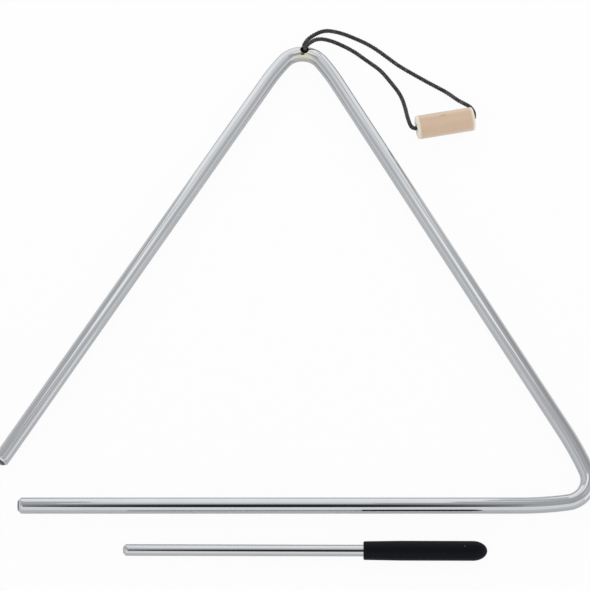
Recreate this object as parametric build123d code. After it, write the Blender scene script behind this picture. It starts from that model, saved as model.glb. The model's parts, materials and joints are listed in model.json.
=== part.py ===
# Triangle instrument and its beater, laid out on a table: a bent chrome-plated steel bar, a cord
# looped through a hole in its apex, a drilled wooden holder on the cord, and a steel beater with
# a rubber grip. Millimetres and degrees; +X to the right, +Y away from the player, +Z up.
import math
import os

from build123d import *

# Bent bar. Its three sides are measured along the bar's axis, between the points where the
# straight sides would meet, or to the free ends at the open corner.
bar_d = 7.0
right_side = 275.4
left_side = 257.5
base_side = 257.0
apex_angle = 60.0
corner_angle = 61.0
bend_r = 11.0  # in the tight middle of each bend
ease_turn = 8.0  # by which each bend starts and ends gently
apex_ease_r = 100.0
corner_ease_r = 150.0
bar_end_chamfer = 1.4
cord_hole_d = 3.4
cord_hole_shift = 0.8  # drilled this far to the right of the apex bend's middle
cord_hole_out = 0.8  # and this far outside the bar's axis
cord_hole_round = 0.4  # rounded mouths, kind to the cord

# Cord. The rear strand runs under the apex, which it lifts off the table.
cord_d = 2.0
room_over_cord = 0.2  # between the rear strand and the bar above it
corner_share = 0.45  # share of the shorter run that each bend of the cord takes up
knot_d = 3.6
knot_length = 10.0
knot_waist_d = 2.9

# Wooden holder, a drilled length of dowel. Its place is measured from the cord hole's foot.
holder_d = 11.0
holder_length = 27.0
holder_bore_d = 4.2
holder_edge = 1.0
holder_bore_edge = 0.4
holder_x = 65.1
holder_y = -38.4
holder_turn = 10.5

# Beater. Its tip's place is measured from the base side's free end.
beater_length = 156.0
rod_d = 5.0
rod_end_chamfer = 1.2
grip_length = 53.0
grip_front_d = 8.0
grip_d = 8.5
grip_taper = 16.0  # length over which the grip widens from its front
grip_dome = 6.2  # length of the rounded rear end
grip_front_edge = 0.4
grip_end_wall = 6.0  # rubber behind the rod's hidden end
beater_inset = 45.9  # tip behind the base side's free end
beater_setback = 20.1  # tip in front of the base side's axis
beater_turn = -0.5

# Where the bar's axes meet, on the plan of the triangle with its bent corner at the origin
corner = Vector(0, 0)
base_end = Vector(-base_side, 0)
base_heading = Vector(1, 0)
right_heading = base_heading.rotate(Axis.Z, 180 - corner_angle)
left_heading = right_heading.rotate(Axis.Z, 180 - apex_angle)
apex = corner + right_heading * right_side
left_end = apex + left_heading * left_side


def bend_reach(turn, ease_r):
    """How far a bend reaches along each side, from the point where the sides would meet."""
    half_turn = math.radians(turn / 2)
    half_tight = half_turn - math.radians(ease_turn)
    ease_run = ease_r * math.tan(math.radians(ease_turn / 2))
    run = ease_run + bend_r * math.tan(half_tight)
    return ease_run + run * math.cos(half_tight) / math.cos(half_turn)


def bend_left(side, turn, ease_r):
    """The arcs that follow a straight side through a bend: a gentle, a tight and a gentle one."""
    arcs = [side]
    for radius, arc_turn in [(ease_r, ease_turn), (bend_r, turn - 2 * ease_turn), (ease_r, ease_turn)]:
        arcs.append(JernArc(arcs[-1] @ 1, arcs[-1] % 1, radius, arc_turn))
    return arcs[1:]


corner_reach = bend_reach(180 - corner_angle, corner_ease_r)
apex_reach = bend_reach(180 - apex_angle, apex_ease_r)
base_line = Line(base_end, corner - base_heading * corner_reach)
corner_arcs = bend_left(base_line, 180 - corner_angle, corner_ease_r)
right_line = Line(corner_arcs[-1] @ 1, apex - right_heading * apex_reach)
apex_arcs = bend_left(right_line, 180 - apex_angle, apex_ease_r)
left_line = Line(apex_arcs[-1] @ 1, left_end)
inwards = (apex_arcs[1] % 0.5).rotate(Axis.Z, 90)
cord_hole = apex_arcs[1] @ 0.5 + Vector(cord_hole_shift, 0) - inwards * cord_hole_out

# The base side rests on the table and the apex on the cord.
apex_lift = cord_d + room_over_cord
bar_tilt = math.degrees(math.asin(apex_lift / cord_hole.Y))
bar_seat = Pos(0, 0, bar_d / 2) * Rot(X=bar_tilt)
cord_hole_foot = Vector(cord_hole.X, cord_hole.Y * math.cos(math.radians(bar_tilt)))


def make_bar():
    """One round bar with two bends, chamfered free ends and a drilled apex."""
    axis = Wire([base_line, *corner_arcs, right_line, *apex_arcs, left_line])
    section = Plane(origin=base_end, z_dir=base_heading) * Circle(bar_d / 2)
    bar = sweep(section, path=axis)
    ends = bar.faces().filter_by(GeomType.PLANE).edges()
    bar = chamfer(ends, bar_end_chamfer)
    bar -= Pos(cord_hole.X, cord_hole.Y) * Cylinder(cord_hole_d / 2, 2 * bar_d)
    hole_wall = bar.faces().sort_by_distance(cord_hole)[0]
    mouths = hole_wall.edges().filter_by(GeomType.LINE, reverse=True)
    return bar_seat * fillet(mouths, cord_hole_round)


def on_holder(along, behind):
    """A point at the bore's height, by its distances along the bore and behind it."""
    place = Vector(along, behind).rotate(Axis.Z, holder_turn)
    return (holder_x + place.X, holder_y + place.Y, holder_d / 2)


def make_cord_strand(name, points):
    """A round tube along straight runs joined by tangent arcs as large as the runs allow."""
    route = [cord_hole_foot + Vector(*point) for point in points]
    runs = [end - start for start, end in zip(route, route[1:])]
    radii = []
    for run, next_run in zip(runs, runs[1:]):
        half_turn = math.radians(run.get_angle(next_run) / 2)
        radii.append(corner_share * min(run.length, next_run.length) / math.tan(half_turn))
    axis = FilletPolyline(*route, radius=radii)
    section = Plane(origin=route[0], z_dir=runs[0]) * Circle(cord_d / 2)
    strand = sweep(section, path=axis)
    expected = math.pi * cord_d**2 / 4 * axis.length
    print(name, "length", round(axis.length, 1), "volume ratio", round(strand.volume / expected, 4))
    print(name, "radii", [round(radius, 1) for radius in radii])
    return strand


def make_knot():
    """The cord's two ends tied together in the bore: two lumps with a waist between them."""
    half = knot_length / 2
    outline = Polyline(
        (-half, 0),
        (-half, cord_d / 2),
        (-half * 0.7, knot_d / 2),
        (-half * 0.3, knot_d / 2),
        (0, knot_waist_d / 2),
        (half * 0.3, knot_d / 2),
        (half * 0.7, knot_d / 2),
        (half, cord_d / 2),
        (half, 0),
        close=True,
    )
    knot = revolve(make_face(outline), axis=Axis.X)
    middle = cord_hole_foot + Vector(*on_holder(0, 0))
    return Pos(*middle) * Rot(Z=holder_turn) * knot


def make_holder():
    """A length of dowel, drilled through for the cord, with its edges broken."""
    dowel = Cylinder(holder_d / 2, holder_length)
    dowel = chamfer(dowel.edges().filter_by(GeomType.CIRCLE), holder_edge)
    dowel -= Cylinder(holder_bore_d / 2, 2 * holder_length)
    mouths = dowel.edges().filter_by(GeomType.CIRCLE).filter_by(
        lambda edge: abs(edge.radius - holder_bore_d / 2) < holder_bore_edge
    )
    dowel = chamfer(mouths, holder_bore_edge)
    middle = cord_hole_foot + Vector(*on_holder(0, 0))
    return Pos(*middle) * Rot(Z=holder_turn) * Rot(Y=90) * dowel


# The beater lies on its tip and on the grip where that reaches its full width.
grip_start = beater_length - grip_length
shoulder = grip_start + grip_taper
beater_tilt = math.atan2((grip_d - rod_d) / 2, shoulder - rod_end_chamfer)
beater_height = rod_d / 2 * math.cos(beater_tilt) - rod_end_chamfer * math.sin(beater_tilt)
beater_seat = Pos(base_end.X + beater_inset, -beater_setback, beater_height)
beater_seat = beater_seat * Rot(Z=beater_turn) * Rot(Y=-math.degrees(beater_tilt))


def make_rod():
    """A straight round rod, chamfered at the tip, whose other end is inside the grip."""
    rod_length = beater_length - grip_end_wall
    rod = Plane.YZ * Cylinder(rod_d / 2, rod_length, align=(Align.CENTER, Align.CENTER, Align.MIN))
    tip = rod.edges().filter_by(GeomType.CIRCLE).sort_by(Axis.X)[0]
    return beater_seat * chamfer(tip, rod_end_chamfer)


def make_grip():
    """A rubber sleeve with a slight taper at the front, a blind bore and a rounded rear end."""
    dome_start = beater_length - grip_dome
    bore_end = beater_length - grip_end_wall
    outline = Polyline(
        (dome_start, grip_d / 2),
        (shoulder, grip_d / 2),
        (grip_start + grip_front_edge, grip_front_d / 2),
        (grip_start, grip_front_d / 2 - grip_front_edge),
        (grip_start, rod_d / 2),
        (bore_end, rod_d / 2),
        (bore_end, 0),
        (beater_length, 0),
    )
    dome = EllipticalCenterArc((dome_start, 0), grip_dome, grip_d / 2, arc_size=90)
    return beater_seat * revolve(make_face(outline + dome), axis=Axis.X)


# Cord route, from the middle of the hole, measured from the hole's foot on the table
hole_middle = (0, 0, bar_d / 2 + apex_lift)
table = cord_d / 2
front_route = [
    hole_middle,
    (0, 0, 10.4),
    (3.4, 3.0, 10.2),
    (6.6, 6.0, 8.0),
    (11.1, 8.2, 4.0),
    (17.0, 7.1, 1.3),
    (23.5, 3.7, table),
    (29.7, -1.5, table),
    (35.8, -6.8, table),
    (40.7, -13.4, table),
    (45.3, -20.3, table),
    (47.1, -28.3, 2.4),
    on_holder(-16.4, 5.6),
    on_holder(-15.4, 0.6),
    on_holder(-10.2, 0),
    on_holder(-knot_length / 2, 0),
]
rear_route = [
    hole_middle,
    (0, 0, table),
    (-0.8, 4.6, table),
    (0.3, 9.0, table),
    (4.1, 12.7, table),
    (9.6, 15.8, table),
    (16.6, 14.4, table),
    (23.7, 11.1, table),
    (30.9, 7.2, table),
    (37.4, 1.7, table),
    (44.0, -4.3, table),
    (51.5, -9.3, table),
    (59.4, -14.5, table),
    (66.7, -19.2, 1.1),
    (72.2, -24.6, 2.6),
    on_holder(14.75, 6.0),
    on_holder(14.75, -0.3),
    on_holder(9.9, 0),
    on_holder(knot_length / 2, 0),
]

pieces = {
    "triangle_bar": make_bar(),
    "wooden_holder": make_holder(),
    "beater_rod": make_rod(),
    "beater_grip": make_grip(),
}
footprint = Compound(children=[piece.solid() for piece in pieces.values()]).bounding_box()
pieces["cord_front_strand"] = make_cord_strand("cord_front_strand", front_route)
pieces["cord_rear_strand"] = make_cord_strand("cord_rear_strand", rear_route)
pieces["cord_knot"] = make_knot()

# The origin is on the table, under the middle of the rigid pieces.
centre = footprint.center()
to_origin = Pos(-centre.X, -centre.Y, 0)
hole_foot = to_origin * Pos(*cord_hole_foot)
holder_middle = to_origin * Pos(*(cord_hole_foot + Vector(*on_holder(0, 0))))
print("cord hole's foot", hole_foot.position, "holder's middle", holder_middle.position)
print("bar tilt", round(bar_tilt, 3), "beater tilt", round(math.degrees(beater_tilt), 3))

os.makedirs("parts", exist_ok=True)
for node, piece in pieces.items():
    export_step(to_origin * piece, f"parts/{node}.step")
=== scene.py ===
import json
import math

import bmesh
import bpy
from mathutils import Matrix, Vector


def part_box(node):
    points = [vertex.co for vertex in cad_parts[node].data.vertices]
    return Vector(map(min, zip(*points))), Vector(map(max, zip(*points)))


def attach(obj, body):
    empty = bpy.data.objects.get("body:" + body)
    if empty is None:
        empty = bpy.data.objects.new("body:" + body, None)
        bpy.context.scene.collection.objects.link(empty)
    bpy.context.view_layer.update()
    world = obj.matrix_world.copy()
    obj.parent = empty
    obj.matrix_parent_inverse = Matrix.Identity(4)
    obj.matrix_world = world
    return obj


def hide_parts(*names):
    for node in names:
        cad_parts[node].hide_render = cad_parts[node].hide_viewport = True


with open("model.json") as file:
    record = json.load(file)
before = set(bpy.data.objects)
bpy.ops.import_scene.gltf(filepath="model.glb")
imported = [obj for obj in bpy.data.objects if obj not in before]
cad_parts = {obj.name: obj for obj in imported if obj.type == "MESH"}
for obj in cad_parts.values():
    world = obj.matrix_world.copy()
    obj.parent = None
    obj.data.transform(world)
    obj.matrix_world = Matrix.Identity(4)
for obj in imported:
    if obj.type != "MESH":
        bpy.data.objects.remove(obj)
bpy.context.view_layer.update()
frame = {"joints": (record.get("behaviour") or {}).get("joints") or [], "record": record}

# Camera. A long lens on a stand in front of the base side, which looks down on the laid-out set.
# Its place is matched to the photograph, whose frame is 590 pixels wide.
mm = 0.001
picture_width = 590
focal_length_pixels = 2662.5
camera_elevation = math.radians(62.97)
camera_distance = 1200 * mm
looks_at = Vector((0.055, 0.648, 0)) * mm

camera = bpy.data.objects.new("camera", bpy.data.cameras.new("camera"))
camera.data.sensor_fit = "HORIZONTAL"
camera.data.lens = camera.data.sensor_width * focal_length_pixels / picture_width
camera.rotation_euler.x = math.pi / 2 - camera_elevation
camera.location = looks_at + camera.rotation_euler.to_matrix() @ Vector((0, 0, camera_distance))
bpy.context.scene.collection.objects.link(camera)
bpy.context.scene.camera = camera

# Bent bar. One round steel bar, cut to length, chamfered at both ends, bent cold at two corners, where it
# eases into a tight bend round a small former, and drilled through the apex for the cord, then polished
# and chrome plated. It lies on its base side and, at the apex, on the cord.
joints = {joint["name"]: joint for joint in frame["joints"]}
mounts = {mount["name"]: mount for mount in frame["record"]["mounts"]}
bar_r = mounts["base_free_end"]["dims"]["r_mm"] * mm
base_side = 257 * mm
right_side = 275.4 * mm
left_side = 257.5 * mm
corner_angle = math.radians(61)
apex_angle = math.radians(60)
bend_r = 11 * mm
ease_turn = math.radians(8)
apex_ease_r = 100 * mm
corner_ease_r = 150 * mm
bar_end_chamfer = 1.4 * mm
past_chamfer = 1 * mm  # from a chamfer to the next ring of edges
broken_edge = 0.12 * mm
broken_angle = math.radians(30)  # the faces at an edge that is broken turn by more than this
cord_hole_r = 1.7 * mm
cord_hole_flare = 0.4 * mm
cord_hole = Vector(joints["cord_swing"]["pos_m"])
base_axis = Vector(mounts["base_free_end"]["pos_m"])
bar_facets = 64
straight_rings = 16
ease_rings = 10
bend_rings = 40


def draw_round_bar(radius, stretches, map_start=0):
    """A straight round bar along +X, with rings of edges, and a UV map of its length and girth in metres."""
    bm = bmesh.new()
    facing_x = Matrix.Rotation(math.pi / 2, 4, "Y")
    bmesh.ops.create_circle(bm, cap_ends=False, radius=radius, segments=bar_facets, matrix=facing_x)
    first_ring = bm.edges[:]
    ring = bm.verts[:] + bm.edges[:]
    for length, rings, turn in stretches:
        step = Vector((length / rings, 0, 0))
        ring = bmesh.ops.spin(bm, geom=ring, axis=(0, 0, 1), dvec=step, angle=0, steps=rings)["geom_last"]
    drawn = bm.loops.layers.uv.new("drawn")
    for face in bm.faces:
        middle = face.calc_center_median()
        for loop in face.loops:
            corner = loop.vert.co
            around = math.atan2(corner.y, corner.z)
            if abs(around) > math.pi / 2 and around * middle.y < 0:
                around += math.copysign(2 * math.pi, middle.y)
            loop[drawn].uv = (map_start + corner.x, around * radius)
    last_ring = [edge for edge in ring if isinstance(edge, bmesh.types.BMEdge)]
    bmesh.ops.contextual_create(bm, geom=first_ring)
    bmesh.ops.contextual_create(bm, geom=last_ring)
    bmesh.ops.recalc_face_normals(bm, faces=bm.faces)
    return bm, first_ring, last_ring


def chamfer_end(bm, rim, size):
    """A turned chamfer on a bar's end, with its own edges just broken."""
    cut = bmesh.ops.bevel(bm, geom=rim, offset=size, segments=1, profile=0.5, affect="EDGES", material=-1)
    edges = {
        edge for face in cut["faces"] for edge in face.edges if edge.calc_face_angle(0) > broken_angle
    }
    bmesh.ops.bevel(
        bm, geom=list(edges), offset=broken_edge, segments=2, profile=0.5, affect="EDGES", material=-1
    )


def bend_left(bm, stretches):
    """Bends a straight bar to the left along each stretch that turns."""
    for vert in bm.verts:
        ahead = vert.co.x
        vert.co.x = 0
        place = Matrix.Identity(4)
        for length, rings, turn in stretches:
            passed = min(ahead, length)
            ahead -= passed
            if turn:
                former = Vector((0, length / turn, 0))
                bent = Matrix.Rotation(turn * passed / length, 4, "Z")
                place @= Matrix.Translation(former) @ bent @ Matrix.Translation(-former)
            else:
                place @= Matrix.Translation((passed, 0, 0))
        vert.co = place @ vert.co


def bend_reach(turn, ease_r):
    """How far a bend with eased ends reaches along each side from the sides' virtual corner."""
    half_tight = turn / 2 - ease_turn
    ease_run = ease_r * math.tan(ease_turn / 2)
    tight_run = ease_run + bend_r * math.tan(half_tight)
    return ease_run + tight_run * math.cos(half_tight) / math.cos(turn / 2)


def bend_stretches(turn, ease_r):
    """A bend's three stretches, each with its length, its rings of edges and its turn."""
    ease = (ease_r * ease_turn, ease_rings, ease_turn)
    tight_turn = turn - 2 * ease_turn
    return [ease, (bend_r * tight_turn, bend_rings, tight_turn), ease]


corner_turn = math.pi - corner_angle
apex_turn = math.pi - apex_angle
corner_reach = bend_reach(corner_turn, corner_ease_r)
apex_reach = bend_reach(apex_turn, apex_ease_r)
end_ring = bar_end_chamfer + past_chamfer
bar_stretches = [
    (end_ring, 1, 0),
    (base_side - corner_reach - end_ring, straight_rings, 0),
    *bend_stretches(corner_turn, corner_ease_r),
    (right_side - corner_reach - apex_reach, straight_rings, 0),
    *bend_stretches(apex_turn, apex_ease_r),
    (left_side - apex_reach - end_ring, straight_rings, 0),
    (end_ring, 1, 0),
]
bar_length = sum(length for length, rings, turn in bar_stretches)
bar, base_rim, left_rim = draw_round_bar(bar_r, bar_stretches)
chamfer_end(bar, base_rim, bar_end_chamfer)
chamfer_end(bar, left_rim, bar_end_chamfer)
bend_left(bar, bar_stretches)
bar_rise = cord_hole - base_axis
bar_tilt = Matrix.Rotation(math.atan2(bar_rise.z, bar_rise.y), 4, "X")
bar_right = max(vert.co.x for vert in bar.verts)
base_end = Matrix.Translation((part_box("triangle_bar")[1].x - bar_right, base_axis.y, base_axis.z))
bmesh.ops.transform(bar, matrix=base_end @ bar_tilt, verts=bar.verts)


def to_linear(code):
    """A colour's sRGB hex code as linear red, green, blue and alpha."""
    parts = [int(code[i : i + 2], 16) / 255 for i in (0, 2, 4)]
    return [p / 12.92 if p <= 0.04045 else ((p + 0.055) / 1.055) ** 2.4 for p in parts] + [1]


def add_node(tree, kind, inputs=None, **settings):
    """A node with its settings. An input is a plain value, or another node's output that is linked to it."""
    node = tree.nodes.new(kind)
    for name, value in settings.items():
        setattr(node, name, value)
    for name, value in (inputs or {}).items():
        if isinstance(value, bpy.types.NodeSocket):
            tree.links.new(value, node.inputs[name])
        else:
            node.inputs[name].default_value = value
    return node


def new_material(name):
    """A material with its node tree and its one shader."""
    material = bpy.data.materials.new(name)
    material.use_nodes = True
    tree = material.node_tree
    return material, tree, tree.nodes["Principled BSDF"]


# Bright chrome plate on polished steel: a cool, nearly mirror-like metal. It shows faint lines along the
# bar from drawing and buffing, a soft haze in patches, and a faint warm tint in front of the drilled hole.
# The hole's wall and a ring round its mouth are bare and rough, and painted near black as the hole's shade.
# The cut end faces are a darker grey.
plate_colour = to_linear("C7C9CB")
plate_dull_colour = to_linear("BCBFC3")
# a faint warm tint in front of the drilled hole
warm_tint_colour = to_linear("C8C2B2")
# a darker grey for the bar's cut end faces
cut_end_colour = to_linear("505254")
# painted shade: near black, standing for the shade inside the drilled hole
hole_shade_colour = to_linear("1C1B1A")
warm_tint_r = 6 * mm
warm_tint_full_r = 2.4 * mm
warm_tint_strength = 0.7
warm_tint_in_front = 2.5 * mm
dark_mouth_width = 0.3 * mm
dark_mouth_fade = 0.15 * mm
dark_mouth_in_front = 0.3 * mm
end_face_reach = 0.56 * mm  # how far from the bar's ends its map counts as a cut face
polished_roughness = 0.04
hazy_roughness = 0.08
bare_roughness = 0.6
draw_line_length = 90 * mm
draw_line_width = 0.9 * mm
draw_line_depth = 0.004 * mm
haze_patch = 22 * mm
warm_tint_middle = Vector((cord_hole.x, cord_hole.y - warm_tint_in_front, 0))
dark_mouth_middle = Vector((cord_hole.x, cord_hole.y - dark_mouth_in_front, 0))
dark_mouth_r = cord_hole_r + dark_mouth_width

chrome_plate, tree, plate = new_material("bright_chrome_plate")
plate.inputs["Metallic"].default_value = 1
on_piece = add_node(tree, "ShaderNodeTexCoord").outputs["Object"]
drawn_map = add_node(tree, "ShaderNodeUVMap", uv_map="drawn").outputs["UV"]
along_lines = add_node(
    tree,
    "ShaderNodeMapping",
    {"Vector": drawn_map, "Scale": (1 / draw_line_length, 1 / draw_line_width, 1)},
).outputs["Vector"]
draw_lines = add_node(
    tree, "ShaderNodeTexNoise", {"Vector": along_lines, "Scale": 1, "Detail": 3, "Roughness": 0.55}
).outputs["Fac"]
haze = add_node(
    tree, "ShaderNodeTexNoise", {"Vector": on_piece, "Scale": 1 / haze_patch, "Detail": 4}
).outputs["Fac"]
in_plan = add_node(
    tree, "ShaderNodeVectorMath", {0: on_piece, 1: (1, 1, 0)}, operation="MULTIPLY"
).outputs["Vector"]
# A faint warm tint, strongest just in front of the drilled hole and fading out round it
off_warm_tint = add_node(
    tree, "ShaderNodeVectorMath", {0: in_plan, 1: warm_tint_middle}, operation="DISTANCE"
).outputs["Value"]
warm_tint = add_node(
    tree,
    "ShaderNodeMapRange",
    {
        "Value": off_warm_tint,
        "From Min": warm_tint_full_r,
        "From Max": warm_tint_r,
        "To Min": warm_tint_strength,
        "To Max": 0,
    },
    interpolation_type="SMOOTHSTEP",
).outputs["Result"]
# The hole's wall and a ring round its front mouth: bare and rough, and painted near black as the hole's
# shade
off_mouth = add_node(
    tree, "ShaderNodeVectorMath", {0: in_plan, 1: dark_mouth_middle}, operation="DISTANCE"
).outputs["Value"]
bare_and_shaded = add_node(
    tree,
    "ShaderNodeMapRange",
    {"Value": off_mouth, "From Min": dark_mouth_r, "From Max": dark_mouth_r + dark_mouth_fade, "To Min": 1, "To Max": 0},
).outputs["Result"]
along_bar = add_node(tree, "ShaderNodeSeparateXYZ", {"Vector": drawn_map}).outputs["X"]
# The bar's cut end faces, near the two ends of its map, are a darker grey
near_start = add_node(
    tree, "ShaderNodeMath", {0: along_bar, 1: end_face_reach}, operation="LESS_THAN"
).outputs["Value"]
near_end = add_node(
    tree, "ShaderNodeMath", {0: along_bar, 1: bar_length - end_face_reach}, operation="GREATER_THAN"
).outputs["Value"]
cut_end = add_node(
    tree, "ShaderNodeMath", {0: near_start, 1: near_end}, operation="MAXIMUM"
).outputs["Value"]
plate_tone = add_node(
    tree, "ShaderNodeMix", {0: haze, 6: plate_colour, 7: plate_dull_colour}, data_type="RGBA"
).outputs[2]
tinted_tone = add_node(
    tree, "ShaderNodeMix", {0: warm_tint, 6: plate_tone, 7: warm_tint_colour}, data_type="RGBA"
).outputs[2]
end_tone = add_node(
    tree, "ShaderNodeMix", {0: cut_end, 6: tinted_tone, 7: cut_end_colour}, data_type="RGBA"
).outputs[2]
# the hole's painted shade goes over everything else
metal_tone = add_node(
    tree, "ShaderNodeMix", {0: bare_and_shaded, 6: end_tone, 7: hole_shade_colour}, data_type="RGBA"
).outputs[2]
plate_gloss = add_node(
    tree,
    "ShaderNodeMapRange",
    {
        "Value": haze,
        "From Min": 0.3,
        "From Max": 0.7,
        "To Min": polished_roughness,
        "To Max": hazy_roughness,
    },
).outputs["Result"]
gloss = add_node(
    tree, "ShaderNodeMix", {0: bare_and_shaded, 2: plate_gloss, 3: bare_roughness}, data_type="FLOAT"
).outputs[0]
line_bump = add_node(
    tree, "ShaderNodeBump", {"Height": draw_lines, "Distance": draw_line_depth, "Strength": 1}
).outputs["Normal"]
tree.links.new(metal_tone, plate.inputs["Base Color"])
tree.links.new(gloss, plate.inputs["Roughness"])
tree.links.new(line_bump, plate.inputs["Normal"])

# The drill that makes the cord's hole, with flared mouths that are kind to the cord
weld = 0.0005 * mm  # points closer than this are one
drill = bmesh.new()
flare_start = bar_r - cord_hole_flare
drill_reach = 2 * bar_r
drill_profile = [
    (0, -drill_reach),
    (cord_hole_r + drill_reach - flare_start, -drill_reach),
    (cord_hole_r, -flare_start),
    (cord_hole_r, flare_start),
    (cord_hole_r + drill_reach - flare_start, drill_reach),
    (0, drill_reach),
]
outline = [drill.verts.new((radius, 0, height)) for radius, height in drill_profile]
sides = [drill.edges.new(pair) for pair in zip(outline, outline[1:])]
bmesh.ops.spin(
    drill, geom=outline + sides, axis=(0, 0, 1), angle=2 * math.pi, steps=bar_facets, use_merge=True
)
bmesh.ops.remove_doubles(drill, verts=drill.verts, dist=weld)
bmesh.ops.recalc_face_normals(drill, faces=drill.faces)
bmesh.ops.transform(drill, matrix=Matrix.Translation(cord_hole) @ bar_tilt, verts=drill.verts)


def to_object(bm, name):
    """An object at the origin that holds this mesh, shaded smooth but for its sharp edges."""
    sharp_angle = math.radians(32)
    mesh = bpy.data.meshes.new(name)
    bm.to_mesh(mesh)
    bm.free()
    mesh.shade_smooth()
    mesh.set_sharp_from_angle(angle=sharp_angle)
    piece = bpy.data.objects.new(name, mesh)
    bpy.context.scene.collection.objects.link(piece)
    return piece


undrilled = to_object(bar, "undrilled_bar")
drill_tool = to_object(drill, "drill_tool")
cut = undrilled.modifiers.new("cord_hole", "BOOLEAN")
cut.object = drill_tool
bpy.context.view_layer.update()
drilled = bmesh.new()
drilled.from_object(undrilled, bpy.context.evaluated_depsgraph_get())
bent_bar = to_object(drilled, "bent_bar")
bpy.data.objects.remove(undrilled)
bpy.data.objects.remove(drill_tool)


def put_on(piece, material, body, slot, *nodes):
    """Gives a piece its finish and its body, in place of CAD nodes."""
    piece.data.materials.clear()
    piece.data.materials.append(material)
    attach(piece, body)
    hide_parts(*nodes)


put_on(bent_bar, chrome_plate, "triangle", "chrome_bar", "triangle_bar")

# Cord. One length of thin black polyester cord, braided from eight strands over a core. It is threaded
# through the hole in the apex, and both its strands run over the table to the holder's bore.
cord_d = 2.0 * mm
strand_r = 0.35 * mm
strand_swing = 0.17 * mm  # how far a strand moves in and out as it passes over and under the others
braid_pitch = 5.6 * mm  # length of cord in which a strand goes once round it
strands_each_way = 4
braid_core_r = 0.8 * mm
braid_loft = 0.05 * mm  # how far the fullest strands stand proud of the cord's measured size
strand_ring_r = cord_d / 2 + braid_loft - strand_r - strand_swing
line_steps = 36  # of the cord's line for each point of its route
on_table = cord_d / 2 / mm  # height in millimetres of the cord's line where it lies on the table
holder_middle = Vector(joints["holder_turn"]["pos_m"])
holder_axis = Vector(joints["holder_turn"]["axis"])
holder_back = Vector((0, 0, 1)).cross(holder_axis)


def by_hole(x, y, height):
    """A point of the route by its millimetres from the foot of the cord's hole."""
    return Vector((cord_hole.x, cord_hole.y, 0)) + Vector((x, y, height)) * mm


def by_holder(along, behind):
    """A point of the route by its millimetres along and behind the holder's bore."""
    return holder_middle + (holder_axis * along + holder_back * behind) * mm


front_route = [
    by_hole(0.3, 0, 10.4),
    by_hole(2.4, 2.6, 10.3),
    by_hole(6.1, 6.2, 8.1),
    by_hole(11.1, 8.2, 4.0),
    by_hole(17.1, 7.2, 1.3),
    by_hole(23.5, 3.5, on_table),
    by_hole(29.6, -1.8, on_table),
    by_hole(35.8, -6.8, on_table),
    by_hole(40.6, -13.6, on_table),
    by_hole(45.1, -20.5, on_table),
    by_hole(47.0, -28.3, 2.4),
    by_holder(-16.5, 5.4),
    by_holder(-15.7, -0.5),
    by_holder(-10.2, 0),
    by_holder(-5, 0),
]
rear_route = [
    by_hole(0, 0, on_table),
    by_hole(-0.8, 4.6, on_table),
    by_hole(0.3, 9.0, on_table),
    by_hole(4.1, 12.7, on_table),
    by_hole(9.6, 15.5, on_table),
    by_hole(16.6, 14.2, on_table),
    by_hole(23.7, 11.0, on_table),
    by_hole(30.9, 7.1, on_table),
    by_hole(37.4, 1.8, on_table),
    by_hole(44.0, -4.2, on_table),
    by_hole(51.5, -9.3, on_table),
    by_hole(59.4, -14.5, on_table),
    by_hole(66.8, -19.1, 1.1),
    by_hole(72.0, -24.7, 2.6),
    by_holder(14.3, 6.0),
    by_holder(14.3, -0.3),
    by_holder(9.9, 0),
    by_holder(5, 0),
]


def line_points(route):
    """Points along the smooth line that a route's points control."""
    curve = bpy.data.curves.new("route", "CURVE")
    curve.dimensions = "3D"
    curve.resolution_u = line_steps
    spline = curve.splines.new("NURBS")
    spline.points.add(len(route) - 1)
    for point, place in zip(spline.points, route):
        point.co = (*place, 1)
    spline.order_u = 3
    spline.use_endpoint_u = True
    carrier = bpy.data.objects.new("route", curve)
    line = bpy.data.meshes.new_from_object(carrier)
    points = [vert.co.copy() for vert in line.vertices]
    bpy.data.objects.remove(carrier)
    bpy.data.curves.remove(curve)
    bpy.data.meshes.remove(line)
    return points


def tubes(name, lines, radius, radii):
    """A mesh of closed round tubes along lines, each with its own radius."""
    curve = bpy.data.curves.new(name, "CURVE")
    curve.dimensions = "3D"
    curve.bevel_depth = radius
    curve.bevel_resolution = 1
    curve.use_fill_caps = True
    for line, line_radius in zip(lines, radii):
        spline = curve.splines.new("POLY")
        spline.points.add(len(line) - 1)
        for point, place in zip(spline.points, line):
            point.co = (*place, 1)
            point.radius = line_radius / radius
    carrier = bpy.data.objects.new(name, curve)
    bm = bmesh.new()
    bm.from_mesh(bpy.data.meshes.new_from_object(carrier))
    bmesh.ops.remove_doubles(bm, verts=bm.verts, dist=weld)
    bpy.data.objects.remove(carrier)
    bpy.data.curves.remove(curve)
    return to_object(bm, name)


cord_route = front_route[::-1] + [cord_hole] + rear_route
cord_line = line_points(cord_route)

# Each strand winds round the cord's line, one way or the other, on a frame that is carried along it
strand_lines = [[] for strand in range(2 * strands_each_way)]
side = holder_back
travelled = 0
places_before = cord_line[:1] + cord_line[:-1]
places_after = cord_line[1:] + cord_line[-1:]
for before, place, after in zip(places_before, cord_line, places_after):
    tangent = (after - before).normalized()
    side = (side - tangent * side.dot(tangent)).normalized()
    up = tangent.cross(side)
    travelled += (place - before).length
    wound = 2 * math.pi * travelled / braid_pitch
    swing = strand_swing * math.cos(strands_each_way * wound)
    for strand, line in enumerate(strand_lines):
        way = 1 if strand % 2 else -1
        angle = way * wound + 2 * math.pi * (strand // 2) / strands_each_way
        offset = strand_ring_r + way * swing
        line.append(place + (side * math.cos(angle) + up * math.sin(angle)) * offset)
cord = tubes(
    "braided_cord",
    strand_lines + [cord_line],
    strand_r,
    [strand_r] * len(strand_lines) + [braid_core_r],
)

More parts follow.
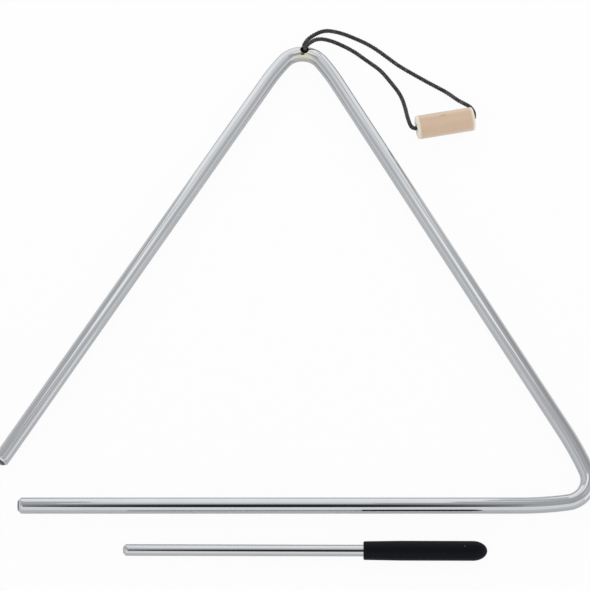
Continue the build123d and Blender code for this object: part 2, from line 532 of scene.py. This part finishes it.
# Black polyester filament yarn: nearly black with a soft sheen, lighter specks where the filaments catch
# the light, and fine filaments along each strand.
yarn_colour = to_linear("1E1E21")
yarn_speck_colour = to_linear("5C5C60")
speck_spacing = 1.6 * mm
filament_width = 0.07 * mm
filament_depth = 0.03 * mm
black_yarn, tree, yarn = new_material("black_polyester_braid")
yarn.inputs["Roughness"].default_value = 0.5
yarn.inputs["Sheen Weight"].default_value = 0.25
yarn.inputs["Sheen Roughness"].default_value = 0.4
on_piece = add_node(tree, "ShaderNodeTexCoord").outputs["Object"]
filaments = add_node(
    tree, "ShaderNodeTexNoise", {"Vector": on_piece, "Scale": 1 / filament_width, "Detail": 2}
).outputs["Fac"]
speckle = add_node(
    tree, "ShaderNodeTexNoise", {"Vector": on_piece, "Scale": 1 / speck_spacing, "Detail": 3}
).outputs["Fac"]
specks = add_node(
    tree, "ShaderNodeMapRange", {"Value": speckle, "From Min": 0.5, "From Max": 0.75}
).outputs["Result"]
yarn_tone = add_node(
    tree, "ShaderNodeMix", {0: specks, 6: yarn_colour, 7: yarn_speck_colour}, data_type="RGBA"
).outputs[2]
filament_bump = add_node(
    tree, "ShaderNodeBump", {"Height": filaments, "Distance": filament_depth, "Strength": 0.6}
).outputs["Normal"]
tree.links.new(yarn_tone, yarn.inputs["Base Color"])
tree.links.new(filament_bump, yarn.inputs["Normal"])
put_on(cord, black_yarn, "cord", "black_cord", "cord_front_strand", "cord_rear_strand")

# Knot. The cord's two ends are tied together inside the holder's bore, each in a tight barrel of turns.
# It is the same braided cord, so it has the same finish.
knot_r = 1.8 * mm
knot_cord_r = 0.55 * mm  # the cord is squeezed flat where it is pulled tight
knot_start = 0.8 * mm  # from the middle of the bore to each barrel
knot_turn_rise = 2.1 * knot_cord_r
knot_turns = 3
knot_turn_points = 16
knot_lines = []
for way in (-1, 1):
    barrel = []
    for step in range(knot_turns * knot_turn_points + 1):
        turn = step / knot_turn_points
        angle = 2 * math.pi * turn
        round_axis = holder_back * math.cos(angle) + Vector((0, 0, way * math.sin(angle)))
        along = way * (knot_start + turn * knot_turn_rise)
        barrel.append(holder_middle + holder_axis * along + round_axis * (knot_r - knot_cord_r))
    knot_lines.append(barrel)
knot = tubes("cord_knot_turns", knot_lines, knot_cord_r, [knot_cord_r] * len(knot_lines))
put_on(knot, black_yarn, "cord", "black_cord", "cord_knot")

# Wooden holder. A short length of pale beech dowel, sawn off, drilled through for the cord and sanded,
# with its edges broken. It rides on the cord and keeps the fingers off the metal.
holder_r = holder_middle.z
holder_half = 13.5 * mm
holder_edge = 1.0 * mm
bore_r = 2.1 * mm
bore_edge = 0.5 * mm
rim_angle = math.radians(60)  # the faces at a rim turn by more than this
rim_tolerance = 0.01 * mm
holder_facets = 96
dowel = bmesh.new()
dowel_profile = [
    (-holder_half, bore_r),
    (-holder_half, holder_r),
    (holder_half, holder_r),
    (holder_half, bore_r),
]


def turn_on_lathe(bm, profile, facets):
    """Turns a closed outline of (along, radius) points round the X axis."""
    outline = [bm.verts.new((along, radius, 0)) for along, radius in profile]
    sides = [bm.edges.new(pair) for pair in zip(outline, outline[1:] + outline[:1])]
    bmesh.ops.spin(
        bm, geom=outline + sides, axis=(1, 0, 0), angle=2 * math.pi, steps=facets, use_merge=True
    )
    bmesh.ops.remove_doubles(bm, verts=bm.verts, dist=weld)
    bmesh.ops.recalc_face_normals(bm, faces=bm.faces)


turn_on_lathe(dowel, dowel_profile, holder_facets)
for rim_r, rounding, rounding_steps in ((holder_r, holder_edge, 6), (bore_r, bore_edge, 3)):
    rim = [
        edge
        for edge in dowel.edges
        if edge.calc_face_angle(0) > rim_angle
        and all(abs(vert.co.yz.length - rim_r) < rim_tolerance for vert in edge.verts)
    ]
    bmesh.ops.bevel(
        dowel, geom=rim, offset=rounding, segments=rounding_steps, profile=0.5, affect="EDGES", material=-1
    )
holder_turn = math.atan2(holder_axis.y, holder_axis.x)
holder_place = Matrix.Translation(holder_middle) @ Matrix.Rotation(holder_turn, 4, "Z")
bmesh.ops.transform(dowel, matrix=holder_place, verts=dowel.verts)
holder = to_object(dowel, "beech_holder")

# Sanded, unvarnished beech: pinkish tan, with a painted highlight on its rounded rims and cut ends, faint
# growth rings, fine fibres along it, a soft nap, and two dark flecks where rays of the wood are cut.
beech_light = to_linear("DBC0A5")
beech_dark = to_linear("CFB094")
# painted highlight for the rounded rims and the cut ends
rim_highlight_colour = to_linear("F4EBDB")
fleck_colour = to_linear("A88A6C")
ring_spacing = 3.2 * mm
wave_radians = 20  # what a wave texture turns through in one unit of length at a scale of 1
fibre_length = 9 * mm
fibre_width = 0.3 * mm
fibre_depth = 0.04 * mm
fleck_half_length = 2.2 * mm
fleck_half_width = 0.35 * mm
fleck_soft_edge = 0.45
fleck_strength = 0.85
fleck_places = [Vector((-2.4, 3.5, 4.2)) * mm, Vector((-0.9, 1.3, 5.3)) * mm]
rim_highlight_width = 1.7 * mm
full_rim_highlight_width = 0.5 * mm
pith = Vector((0, 13, -7)) * mm  # the heart of the tree, from the dowel's middle
beech, tree, wood = new_material("sanded_beech")
wood.inputs["Roughness"].default_value = 0.65
wood.inputs["Specular IOR Level"].default_value = 0.3
wood.inputs["Sheen Weight"].default_value = 1
wood.inputs["Sheen Roughness"].default_value = 0.5
on_piece = add_node(tree, "ShaderNodeTexCoord").outputs["Object"]
on_dowel = add_node(
    tree,
    "ShaderNodeMapping",
    {"Vector": on_piece, "Location": holder_middle, "Rotation": (0, 0, holder_turn)},
    vector_type="TEXTURE",
).outputs["Vector"]
from_pith = add_node(
    tree, "ShaderNodeVectorMath", {0: on_dowel, 1: pith}, operation="SUBTRACT"
).outputs["Vector"]
rings = add_node(
    tree,
    "ShaderNodeTexWave",
    {
        "Vector": from_pith,
        "Scale": 2 * math.pi / wave_radians / ring_spacing,
        "Distortion": 1.5,
        "Detail": 2,
        "Detail Scale": 0.6,
    },
    wave_type="RINGS",
    rings_direction="X",
).outputs["Fac"]
fibres_at = add_node(
    tree,
    "ShaderNodeMapping",
    {"Vector": on_dowel, "Scale": (1 / fibre_length, 1 / fibre_width, 1 / fibre_width)},
).outputs["Vector"]
fibres = add_node(
    tree, "ShaderNodeTexNoise", {"Vector": fibres_at, "Scale": 1, "Detail": 4}
).outputs["Fac"]
grain = add_node(tree, "ShaderNodeMath", {0: rings, 1: fibres}, operation="MULTIPLY").outputs["Value"]
wood_tone = add_node(
    tree, "ShaderNodeMix", {0: grain, 6: beech_light, 7: beech_dark}, data_type="RGBA"
).outputs[2]
for fleck_place in fleck_places:
    in_fleck = add_node(
        tree,
        "ShaderNodeMapping",
        {
            "Vector": on_dowel,
            "Location": fleck_place,
            "Scale": (fleck_half_length, fleck_half_width, fleck_half_width),
        },
        vector_type="TEXTURE",
    ).outputs["Vector"]
    fleck_depth = add_node(
        tree, "ShaderNodeTexGradient", {"Vector": in_fleck}, gradient_type="SPHERICAL"
    ).outputs["Fac"]
    fleck = add_node(
        tree,
        "ShaderNodeMapRange",
        {"Value": fleck_depth, "From Max": fleck_soft_edge, "To Max": fleck_strength},
    ).outputs["Result"]
    wood_tone = add_node(
        tree, "ShaderNodeMix", {0: fleck, 6: wood_tone, 7: fleck_colour}, data_type="RGBA"
    ).outputs[2]
along_dowel = add_node(tree, "ShaderNodeSeparateXYZ", {"Vector": on_dowel}).outputs["X"]
from_middle = add_node(tree, "ShaderNodeMath", {0: along_dowel}, operation="ABSOLUTE").outputs["Value"]
# A painted highlight over the rounded rims and cut ends at both ends of the dowel
rim_highlight = add_node(
    tree,
    "ShaderNodeMapRange",
    {
        "Value": from_middle,
        "From Min": holder_half - rim_highlight_width,
        "From Max": holder_half - full_rim_highlight_width,
    },
    interpolation_type="SMOOTHSTEP",
).outputs["Result"]
wood_tone = add_node(
    tree, "ShaderNodeMix", {0: rim_highlight, 6: wood_tone, 7: rim_highlight_colour}, data_type="RGBA"
).outputs[2]
fibre_bump = add_node(
    tree, "ShaderNodeBump", {"Height": fibres, "Distance": fibre_depth, "Strength": 0.5}
).outputs["Normal"]
tree.links.new(wood_tone, wood.inputs["Base Color"])
tree.links.new(fibre_bump, wood.inputs["Normal"])
put_on(holder, beech, "holder", "pale_wood", "wooden_holder")

# Beater rod. A straight piece of the same chrome-plated steel, thinner than the bar, chamfered at the tip.
# Its other end is pushed into the grip. It lies on its tip and on the grip's shoulder.
rod_r = 2.5 * mm
beater_length = 156 * mm
grip_length = 53 * mm
grip_end_wall = 6 * mm
rod_end_chamfer = 1.2 * mm
grip_taper = 16 * mm
grip_r = 4.25 * mm
beater_turn = math.radians(-0.5)
clip_from_tip = 50 * mm
rod_clip = Vector(mounts["beater_rod_clip"]["pos_m"])
shoulder = beater_length - grip_length + grip_taper
beater_tilt = math.atan2(grip_r - rod_r, shoulder - rod_end_chamfer)
beater_place = (
    Matrix.Translation(rod_clip)
    @ Matrix.Rotation(beater_turn, 4, "Z")
    @ Matrix.Rotation(-beater_tilt, 4, "Y")
    @ Matrix.Translation((-clip_from_tip, 0, 0))
)
rod_end_ring = rod_end_chamfer + past_chamfer
rod_stretches = [(rod_end_ring, 1, 0), (beater_length - grip_end_wall - rod_end_ring, straight_rings, 0)]
rod_map_start = 2 * bar_end_chamfer  # past the cut face on the plate's map, because the tip is bright too
rod, tip_rim = draw_round_bar(rod_r, rod_stretches, rod_map_start)[:2]
chamfer_end(rod, tip_rim, rod_end_chamfer)
bmesh.ops.transform(rod, matrix=beater_place, verts=rod.verts)
put_on(to_object(rod, "chrome_rod"), chrome_plate, "beater", "chrome_rod", "beater_rod")

# Beater grip. A soft black vinyl sleeve, dip moulded on a former and pushed over the rod, which it holds
# by its stretch. It widens a little from its cut front edge and ends in a dome.
grip_front_r = 4 * mm
grip_front_edge = 0.4 * mm
grip_dome = 6.2 * mm
dome_rings = 14
grip_facets = 72
grip_start = beater_length - grip_length
dome_start = beater_length - grip_dome
bore_end = beater_length - grip_end_wall
grip_profile = [
    (bore_end, 0),
    (bore_end, rod_r),
    (grip_start, rod_r),
    (grip_start, grip_front_r - grip_front_edge),
    (grip_start + grip_front_edge, grip_front_r),
    (shoulder, grip_r),
]
for ring in range(dome_rings + 1):
    rise = math.pi / 2 * ring / dome_rings
    grip_profile.append((dome_start + grip_dome * math.sin(rise), grip_r * math.cos(rise)))
sleeve = bmesh.new()
turn_on_lathe(sleeve, grip_profile, grip_facets)
bmesh.ops.transform(sleeve, matrix=beater_place, verts=sleeve.verts)
grip = to_object(sleeve, "vinyl_grip")

# Soft black vinyl: blue-black with a dull gloss, with a fine skin and slow ripples from dipping, and a few
# pale grains of dust.
vinyl_colour = to_linear("07090E")
vinyl_pale_colour = to_linear("0D1017")
dust_colour = to_linear("8A8C90")
skin_grain = 0.35 * mm
skin_depth = 0.03 * mm
dip_ripple = 7 * mm
ripple_depth = 0.2 * mm
dust_spacing = 5 * mm
dust_r = 0.16 * mm
black_vinyl, tree, vinyl = new_material("dipped_black_vinyl")
vinyl.inputs["Specular IOR Level"].default_value = 0.09
on_piece = add_node(tree, "ShaderNodeTexCoord").outputs["Object"]
skin = add_node(
    tree, "ShaderNodeTexNoise", {"Vector": on_piece, "Scale": 1 / skin_grain, "Detail": 3}
).outputs["Fac"]
ripple = add_node(
    tree, "ShaderNodeTexNoise", {"Vector": on_piece, "Scale": 1 / dip_ripple, "Detail": 2}
).outputs["Fac"]
from_grain = add_node(
    tree, "ShaderNodeTexVoronoi", {"Vector": on_piece, "Scale": 1 / dust_spacing}
).outputs["Distance"]
dust = add_node(
    tree, "ShaderNodeMath", {0: from_grain, 1: dust_r / dust_spacing}, operation="LESS_THAN"
).outputs["Value"]
vinyl_tone = add_node(
    tree, "ShaderNodeMix", {0: ripple, 6: vinyl_colour, 7: vinyl_pale_colour}, data_type="RGBA"
).outputs[2]
dusty_tone = add_node(
    tree, "ShaderNodeMix", {0: dust, 6: vinyl_tone, 7: dust_colour}, data_type="RGBA"
).outputs[2]
vinyl_gloss = add_node(
    tree, "ShaderNodeMapRange", {"Value": skin, "To Min": 0.35, "To Max": 0.55}
).outputs["Result"]
skin_bump = add_node(
    tree, "ShaderNodeBump", {"Height": skin, "Distance": skin_depth, "Strength": 0.35}
).outputs["Normal"]
ripple_bump = add_node(
    tree,
    "ShaderNodeBump",
    {"Height": ripple, "Distance": ripple_depth, "Strength": 0.3, "Normal": skin_bump},
).outputs["Normal"]
tree.links.new(dusty_tone, vinyl.inputs["Base Color"])
tree.links.new(vinyl_gloss, vinyl.inputs["Roughness"])
tree.links.new(ripple_bump, vinyl.inputs["Normal"])
put_on(grip, black_vinyl, "beater", "black_rubber", "beater_grip")

# Table. A plain white sheet under the set. It is white to the camera and partly so in the metal, and keeps
# a soft part of the shadows.
table_half = 1500 * mm
sheet_colour = to_linear("F6F6F6")
white_to_camera = 0.94
white_in_metal = 0.25
sheet = bmesh.new()
bmesh.ops.create_grid(sheet, x_segments=1, y_segments=1, size=table_half)
table_top = to_object(sheet, "table_top")
white_sheet, tree, sheet_shader = new_material("white_sheet")
sheet_shader.inputs["Base Color"].default_value = sheet_colour
sheet_shader.inputs["Roughness"].default_value = 0.9
sheet_shader.inputs["Specular IOR Level"].default_value = 0
rays = add_node(tree, "ShaderNodeLightPath").outputs
mirrored = add_node(
    tree,
    "ShaderNodeMath",
    {0: rays["Is Glossy Ray"], 1: rays["Is Transmission Ray"]},
    operation="MAXIMUM",
).outputs["Value"]
mirrored_share = add_node(
    tree, "ShaderNodeMath", {0: mirrored, 1: white_in_metal}, operation="MULTIPLY"
).outputs["Value"]
seen_share = add_node(
    tree, "ShaderNodeMath", {0: rays["Is Camera Ray"], 1: white_to_camera}, operation="MULTIPLY"
).outputs["Value"]
share = add_node(
    tree, "ShaderNodeMath", {0: seen_share, 1: mirrored_share}, operation="MAXIMUM"
).outputs["Value"]
glow = add_node(tree, "ShaderNodeEmission", {"Color": (1, 1, 1, 1), "Strength": 1}).outputs["Emission"]
shown = add_node(
    tree, "ShaderNodeMixShader", {0: share, 1: sheet_shader.outputs["BSDF"], 2: glow}
).outputs["Shader"]
tree.links.new(shown, tree.nodes["Material Output"].inputs["Surface"])
table_top.data.materials.append(white_sheet)

# Light tent. White cloth all round, dimmer higher up and at the back, with a tall gap for the camera, which
# the base side and the rod show as their dark line. To the camera it is plain white.
wall_low = 0.94
wall_high = 0.7
dimming_starts = 0.4  # as heights on a round tent with a radius of 1
dimming_ends = 0.7
no_depth = 1000  # a patch is stretched so far along its own direction that its depth doesn't count
world = bpy.data.worlds.new("light_tent")
bpy.context.scene.world = world
world.use_nodes = True
tree = world.node_tree
towards = add_node(tree, "ShaderNodeTexCoord").outputs["Generated"]
height = add_node(tree, "ShaderNodeSeparateXYZ", {"Vector": towards}).outputs["Z"]
cloth = add_node(
    tree,
    "ShaderNodeMapRange",
    {
        "Value": height,
        "From Min": dimming_starts,
        "From Max": dimming_ends,
        "To Min": wall_low,
        "To Max": wall_high,
    },
    interpolation_type="SMOOTHSTEP",
).outputs["Result"]

# Patches of the cloth, each with its azimuth clockwise from the back, its elevation, half width and half
# height in degrees, the share of it that its soft edge takes up, and its brightness: the roof, the back
# and the front, a shade at the right of the back and of the front, a bright seam at each side, the shade
# above the camera's gap, and that gap
cloth_patches = [
    (0, 90, 42, 42, 0.35, 0.62),
    (0, 25, 60, 26, 0.4, 0.58),
    (180, 35, 75, 40, 0.4, 1.12),
    (43, 26, 20, 36, 0.5, 0.52),
    (140, 58, 34, 16, 0.6, 0.55),
    (-66, 58.5, 15, 8, 0.7, 0.95),
    (72, 63.5, 13, 8, 0.7, 0.95),
    (-179, 74, 9, 22, 0.8, 0.1),
    (-178.5, 58, 6.8, 17, 0.3, 0.01),
]
for azimuth, elevation, half_width, half_height, soft_edge, brightness in cloth_patches:
    on_patch = add_node(
        tree,
        "ShaderNodeMapping",
        {
            "Vector": towards,
            "Rotation": (math.radians(elevation - 90), 0, math.radians(-azimuth)),
            "Scale": (math.sin(math.radians(half_width)), math.sin(math.radians(half_height)), no_depth),
        },
        vector_type="TEXTURE",
    ).outputs["Vector"]
    patch_depth = add_node(
        tree, "ShaderNodeTexGradient", {"Vector": on_patch}, gradient_type="SPHERICAL"
    ).outputs["Fac"]
    patch = add_node(
        tree,
        "ShaderNodeMapRange",
        {"Value": patch_depth, "From Max": soft_edge},
        interpolation_type="SMOOTHSTEP",
    ).outputs["Result"]
    cloth = add_node(
        tree, "ShaderNodeMix", {0: patch, 2: cloth, 3: brightness}, data_type="FLOAT"
    ).outputs[0]
rays = add_node(tree, "ShaderNodeLightPath").outputs
backdrop = add_node(
    tree, "ShaderNodeMix", {0: rays["Is Camera Ray"], 2: cloth, 3: 1.0}, data_type="FLOAT"
).outputs[0]
tree.links.new(backdrop, tree.nodes["Background"].inputs["Strength"])
tree.nodes["Background"].inputs["Color"].default_value = (1, 1, 1, 1)


def softbox(name, place, faces, width, height, radiance):
    """A lamp with a plain rectangular face, given by how much brighter than the cloth that face is."""
    lamp = bpy.data.lights.new(name, "AREA")
    lamp.shape = "RECTANGLE"
    lamp.size = width
    lamp.size_y = height
    lamp.energy = 4 * radiance * width * height  # in watts, for a face of that radiance
    box = bpy.data.objects.new(name, lamp)
    box.location = place
    box.rotation_euler = Vector(faces).to_track_quat("-Z", "Y").to_euler()
    bpy.context.scene.collection.objects.link(box)


# Softboxes inside the tent, in metres: three above the set, side by side from front to back, and a small
# one at the right, which the left end's bright line comes from. Two large ones stand behind the set, with a
# dim one in the gap between them, which the right bend shows, and another dim one in the back corner.
roof_height = 0.55
back_distance = 0.55
back_height = 0.62
down = (0, 0, -1)
leftwards = (-1, 0, 0)
forwards = (0, -1, 0)
softbox("front_roof_softbox", (-0.05, -0.045, roof_height), down, 0.2, 0.11, 0.3)
softbox("middle_roof_softbox", (-0.015, 0.185, roof_height), down, 0.24, 0.15, 0.64)
softbox("rear_roof_softbox", (-0.02, 0.35, roof_height), down, 0.36, 0.18, 0.38)
softbox("right_softbox", (0.35, -0.175, 0.05), leftwards, 0.13, 0.1, 0.42)
softbox("back_left_softbox", (-0.13, back_distance, back_height / 2), forwards, 0.54, back_height, 0.57)
softbox("back_gap_softbox", (0.168, back_distance, 0.21), forwards, 0.056, 0.42, 0.27)
softbox("back_right_softbox", (0.298, back_distance, back_height / 2), forwards, 0.204, back_height, 0.57)
softbox("back_corner_softbox", (0.46, back_distance, back_height / 2), forwards, 0.12, back_height, 0.16)

bpy.context.scene.view_settings.view_transform = "Standard"
